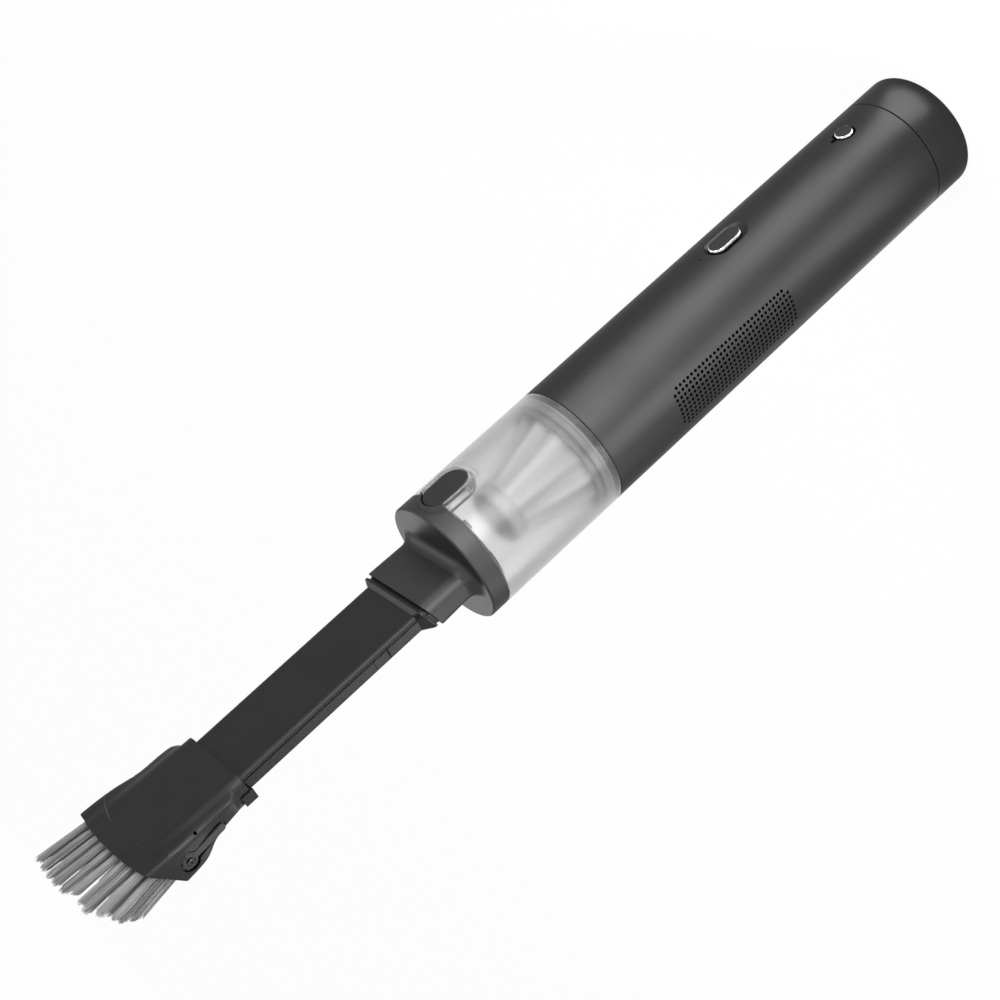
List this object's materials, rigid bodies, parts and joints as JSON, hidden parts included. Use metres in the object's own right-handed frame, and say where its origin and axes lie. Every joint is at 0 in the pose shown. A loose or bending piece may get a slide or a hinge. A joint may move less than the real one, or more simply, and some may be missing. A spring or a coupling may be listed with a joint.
{
  "type": "handheld vacuum cleaner",
  "caption": "Slim cylindrical handheld vacuum cleaner with a clear dust cup, flat crevice nozzle and a sliding dusting brush head.",
  "frame": {"origin": "centre of the flat rear end face, which the object stands on", "axes": "+Z runs along the body from the rear end up to the nozzle and brush, -Y is the side with the buttons, the round plug and the release button, -X and +X are the two grille sides"},
  "size_m": [0.06, 0.0615, 0.5211],
  "materials": {
    "housing": "satin metallic grey",
    "black_plastic": "fine matt moulded",
    "button_plastic": "satin",
    "bright_trim": "polished",
    "clear_cup": "frosted clear plastic",
    "filter_cloth": "pleated",
    "filter_frame": "matt",
    "soft_black": "matt",
    "bristles": "fine strands",
    "board": "satin",
    "steel": "plain",
    "cell_wrap": "shrink wrap",
    "pale_plastic": "matt",
    "white_lens": "plain",
    "red_wire": "satin",
    "black_wire": "satin",
    "foam": "open foam"
  },
  "bodies": {
    "body": {"main_housing": "housing", "rear_cap": "housing", "battery_cell_1": "cell_wrap", "battery_cell_2": "cell_wrap", "battery_cell_3": "cell_wrap", "battery_holder_rear": "pale_plastic", "battery_holder_front": "pale_plastic", "board_tray": "black_plastic", "control_board": "board", "board_screw_1": "steel", "board_screw_2": "steel", "power_switch": "black_plastic", "lamp_lens": "white_lens", "charge_socket": "black_plastic", "charge_board": "board", "motor_can": "steel", "motor_end_bell": "black_plastic", "motor_mount": "soft_black", "motor_bearing": "steel", "fan_shroud": "black_plastic", "exhaust_filter_left": "foam", "exhaust_filter_right": "foam", "motor_lead_red": "red_wire", "motor_lead_black": "black_wire"},
    "rotor": {"motor_shaft": "steel", "motor_rotor": "steel", "impeller": "black_plastic"},
    "power_key": {"power_button": "button_plastic", "power_button_trim": "bright_trim"},
    "port_plug": {"charge_plug": "button_plastic", "charge_plug_trim": "bright_trim"},
    "cup": {"dust_cup": "clear_cup", "cup_seal": "soft_black"},
    "filter": {"filter_band": "filter_frame", "filter_media": "filter_cloth", "filter_cap": "filter_frame"},
    "cover": {"front_cover": "housing"},
    "release_key": {"release_button": "button_plastic"},
    "crevice_tool": {"crevice_tube": "black_plastic"},
    "brush_head": {"brush_cap": "black_plastic", "bristles_top": "bristles", "bristles_bottom": "bristles", "bristles_left": "bristles", "bristles_right": "bristles", "tongue_screw": "steel"},
    "tongue": {"detent_tongue": "black_plastic"}
  },
  "joints": [
    {"name": "impeller_spin", "type": "hinge", "parent": "body", "child": "rotor", "pos_m": [0, 0, 0.21], "axis": [0, 0, 1], "continuous": true},
    {"name": "power_press", "type": "slide", "parent": "body", "child": "power_key", "axis": [0, 1, 0], "range_m": [0, 0.0008], "stiffness_N_per_m": 1500},
    {"name": "plug_pull", "type": "slide", "parent": "body", "child": "port_plug", "axis": [0, -1, 0], "range_m": [0, 0.0042]},
    {"name": "cup_twist", "type": "hinge", "parent": "body", "child": "cup", "pos_m": [0, 0, 0.2385], "axis": [0, 0, 1], "range_deg": [0, 20]},
    {"name": "filter_pull", "type": "slide", "parent": "cup", "child": "filter", "axis": [0, 0, 1], "range_m": [0, 0.008]},
    {"name": "cover_pull", "type": "slide", "parent": "cup", "child": "cover", "axis": [0, 0, 1], "range_m": [0, 0.009]},
    {"name": "release_press", "type": "slide", "parent": "cover", "child": "release_key", "axis": [0, 1, 0], "range_m": [0, 0.0015], "stiffness_N_per_m": 1500},
    {"name": "tool_pull", "type": "slide", "parent": "cover", "child": "crevice_tool", "axis": [0, 0, 1], "range_m": [0, 0.016]},
    {"name": "brush_slide", "type": "slide", "parent": "crevice_tool", "child": "brush_head", "axis": [0, 0, -1], "range_m": [0, 0.0925]},
    {"name": "tongue_flex", "type": "hinge", "parent": "brush_head", "child": "tongue", "pos_m": [-0.02565, 0.0026, 0.477], "axis": [0, 1, 0], "range_deg": [0, 4], "stiffness_Nm_per_rad": 0.5}
  ]
}
